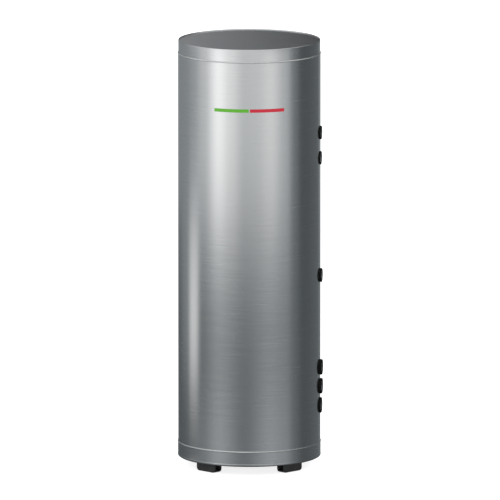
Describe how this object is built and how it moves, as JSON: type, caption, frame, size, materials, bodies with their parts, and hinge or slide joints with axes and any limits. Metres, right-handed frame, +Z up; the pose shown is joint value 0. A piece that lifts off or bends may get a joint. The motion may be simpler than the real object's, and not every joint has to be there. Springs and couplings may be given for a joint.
{
  "type": "solar water heater",
  "caption": "Floor-standing round storage tank of a solar water heater, with a brushed steel casing, side pipe ports, solar coil, rear electric booster and block feet.",
  "frame": {"origin": "on the floor, under the axis of the round casing", "axes": "+Z up along the casing's axis, -Y towards the front, +X towards the side with the pipe ports"},
  "size_m": [0.5313, 0.5338, 1.57],
  "materials": {
    "casing_steel": "brushed, satin",
    "foam": "matte, fine-celled",
    "enamelled_steel": "glossy vitreous enamel",
    "zinc_plated_steel": "zinc plated, satin",
    "foot_plastic": "matte, lightly textured",
    "trim_plastic": "matte",
    "socket_brass": "turned, satin",
    "pipe_steel": "drawn, satin",
    "anode_metal": "cast, dull",
    "pocket_plastic": "matte",
    "cover_plastic": "fine-grained, satin",
    "dial_plastic": "satin",
    "button_plastic": "glossy",
    "gasket_rubber": "matte",
    "green_enamel": "glossy",
    "red_enamel": "glossy"
  },
  "bodies": {
    "tank": {"base_pan": "casing_steel", "casing_wrap": "casing_steel", "lid": "casing_steel", "foam_jacket": "foam", "tank_shell": "enamelled_steel", "tank_top_head": "enamelled_steel", "tank_bottom_head": "enamelled_steel", "solar_coil": "enamelled_steel", "support_ring": "zinc_plated_steel", "foot_bolt_front_right": "zinc_plated_steel", "foot_bolt_back_right": "zinc_plated_steel", "foot_bolt_back_left": "zinc_plated_steel", "foot_bolt_front_left": "zinc_plated_steel", "weld_nut_front_right": "zinc_plated_steel", "weld_nut_back_right": "zinc_plated_steel", "weld_nut_back_left": "zinc_plated_steel", "weld_nut_front_left": "zinc_plated_steel", "heater_socket": "zinc_plated_steel", "rating_plate": "zinc_plated_steel", "foot_front_right": "foot_plastic", "foot_back_right": "foot_plastic", "foot_back_left": "foot_plastic", "foot_front_left": "foot_plastic", "hot_outlet_ring": "trim_plastic", "relief_valve_ring": "trim_plastic", "solar_flow_ring": "trim_plastic", "sensor_ring": "trim_plastic", "solar_return_ring": "trim_plastic", "cold_inlet_ring": "trim_plastic", "anode_ring": "trim_plastic", "foam_plug": "trim_plastic", "anode_socket": "socket_brass", "sensor_pocket": "socket_brass", "heater_head": "socket_brass", "earth_stud": "socket_brass", "hot_outlet_socket": "pipe_steel", "relief_valve_socket": "pipe_steel", "solar_flow_socket": "pipe_steel", "sensor_socket": "pipe_steel", "solar_return_socket": "pipe_steel", "cold_inlet_socket": "pipe_steel", "hot_outlet_riser": "pipe_steel", "cold_inlet_diffuser": "pipe_steel", "heater_element": "pipe_steel", "terminal_pocket": "pocket_plastic", "thermostat_body": "pocket_plastic", "heater_gasket": "gasket_rubber", "badge_stripe_left": "green_enamel", "badge_stripe_right": "red_enamel"},
    "booster_cover": {"booster_cover": "cover_plastic", "cable_gland": "trim_plastic", "cover_screw_lower": "zinc_plated_steel", "cover_screw_upper": "zinc_plated_steel"},
    "thermostat_dial": {"thermostat_dial": "dial_plastic"},
    "reset_button": {"reset_button": "button_plastic"},
    "anode": {"anode_plug": "socket_brass", "anode_rod": "anode_metal"}
  },
  "joints": [
    {"name": "cover_slide", "type": "slide", "parent": "tank", "child": "booster_cover", "axis": [0, 1, 0], "range_m": [0, 0.09]},
    {"name": "thermostat_turn", "type": "hinge", "parent": "tank", "child": "thermostat_dial", "pos_m": [0, 0.26, 0.812], "axis": [0, 1, 0], "range_deg": [-135, 135]},
    {"name": "reset_press", "type": "slide", "parent": "tank", "child": "reset_button", "axis": [0, -1, 0], "range_m": [0, 0.002], "stiffness_N_per_m": 600},
    {"name": "anode_draw", "type": "slide", "parent": "tank", "child": "anode", "axis": [0, 1, 0], "range_m": [0, 0.42]}
  ]
}
